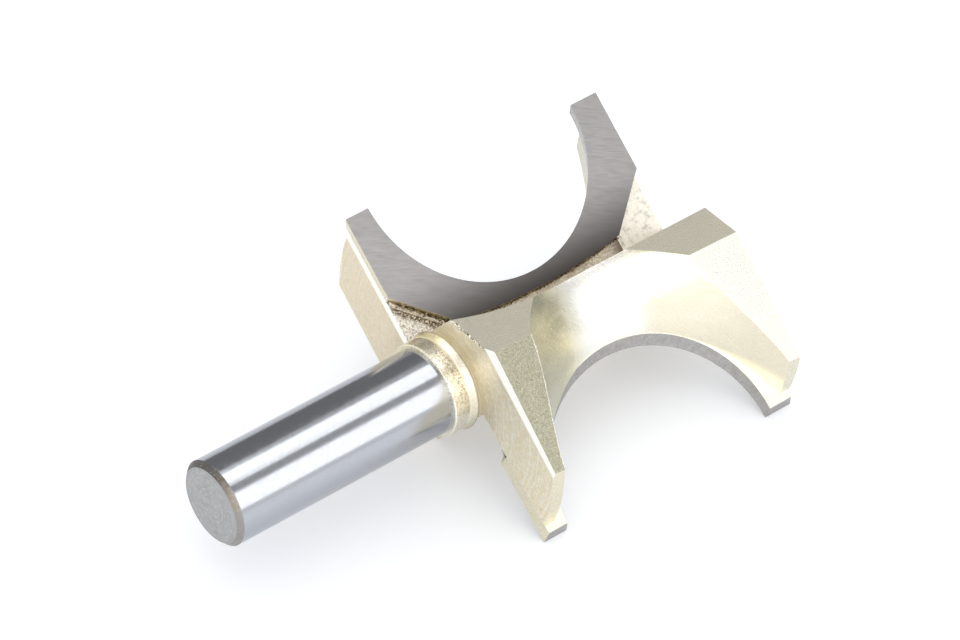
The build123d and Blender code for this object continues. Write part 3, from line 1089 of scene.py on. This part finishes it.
# %% Floor
reach = 6.0
camera_glow = 0.255
mirrored_glow = 0.16
floor_mesh = bpy.data.meshes.new("floor")
floor_mesh.from_pydata([(-reach, -reach, 0), (reach, -reach, 0), (reach, reach, 0),
                        (-reach, reach, 0)], [], [(0, 1, 2, 3)])
floor = bpy.data.objects.new("floor", floor_mesh)
bpy.context.scene.collection.objects.link(floor)
paper = bpy.data.materials.new("white_paper")
paper.use_nodes = True
sheet = paper.node_tree
paper_rays = add_node(sheet, "ShaderNodeLightPath").outputs
paper_glow = times_plus(sheet, paper_rays["Is Camera Ray"], camera_glow,
                        times(sheet, paper_rays["Is Glossy Ray"], mirrored_glow))
connect(sheet, sheet.nodes["Principled BSDF"], Base_Color=rgb(0.885, 0.905, 0.945),
        Roughness=0.3, Specular_IOR_Level=0.3, Emission_Color=rgb(1, 1, 1),
        Emission_Strength=paper_glow)
floor_mesh.materials.append(paper)
print("floor:", 2 * reach, "m wide")


# %% Softboxes
def softbox(name, azimuth, elevation, distance, width, height, brightness):
    """A lamp that faces the bit, at an azimuth from +X. Only metal shows it."""
    az, el = radians(azimuth), radians(elevation)
    away = Vector((cos(el) * cos(az), cos(el) * sin(az), sin(el)))
    lamp = bpy.data.lights.new(name, "AREA")
    lamp.shape = "RECTANGLE"
    lamp.size = width
    lamp.size_y = height
    lamp.energy = brightness * pi * width * height
    box = bpy.data.objects.new(name, lamp)
    box.matrix_world = (Matrix.Translation(away * distance)
                        @ away.to_track_quat("Z", "Y").to_matrix().to_4x4())
    box.visible_diffuse = False
    bpy.context.scene.collection.objects.link(box)


softbox("front_box", azimuth=-95, elevation=34, distance=0.60, width=1.45, height=0.47,
        brightness=1.2)
softbox("key_box", azimuth=3, elevation=59, distance=0.70, width=0.39, height=0.26,
        brightness=1.6)
softbox("top_box", azimuth=90, elevation=80, distance=0.62, width=0.50, height=0.40,
        brightness=1.6)
softbox("back_box", azimuth=100, elevation=52, distance=0.75, width=0.60, height=0.30,
        brightness=1.6)
print("softboxes:", sorted(lamp.name for lamp in bpy.data.lights))


# %% Grey walls
def wall(name, azimuth, distance, width, low, high, brightness, tilt=0.0):
    """A wall of one even grey, tilted over for a ceiling. Only metal shows it."""
    mesh = bpy.data.meshes.new(name)
    mesh.from_pydata([(0, -width / 2, low), (0, width / 2, low),
                      (0, width / 2, high), (0, -width / 2, high)], [], [(0, 1, 2, 3)])
    mesh.transform(Matrix.Rotation(radians(azimuth), 4, "Z")
                   @ Matrix.Rotation(radians(-tilt), 4, "Y")
                   @ Matrix.Translation((distance, 0, 0)))
    panel = bpy.data.objects.new(name, mesh)
    bpy.context.scene.collection.objects.link(panel)
    grey = bpy.data.materials.new(name)
    grey.use_nodes = True
    connect(grey.node_tree, grey.node_tree.nodes["Principled BSDF"],
            Base_Color=rgb(0, 0, 0), Specular_IOR_Level=0.0,
            Emission_Color=rgb(1, 1, 1), Emission_Strength=brightness)
    mesh.materials.append(grey)
    panel.visible_camera = False
    panel.visible_shadow = False
    panel.visible_diffuse = False
    print(f"{name}: brightness {brightness}")


wall("grey_wall", azimuth=1, distance=0.60, width=1.24, low=0.0, high=1.10,
     brightness=0.60)
wall("dark_wall", azimuth=68, distance=0.62, width=0.50, low=0.0, high=0.88,
     brightness=0.26)
wall("grey_ceiling", azimuth=180, distance=1.20, width=1.60, low=-0.90, high=0.70,
     brightness=0.50, tilt=90)

# %% World
world = bpy.data.worlds.new("studio")
bpy.context.scene.world = world
world.use_nodes = True
connect(world.node_tree, world.node_tree.nodes["Background"], Color=rgb(1, 1, 1),
        Strength=1.0)
bpy.context.scene.view_settings.view_transform = "Standard"
print("world:", world.name)
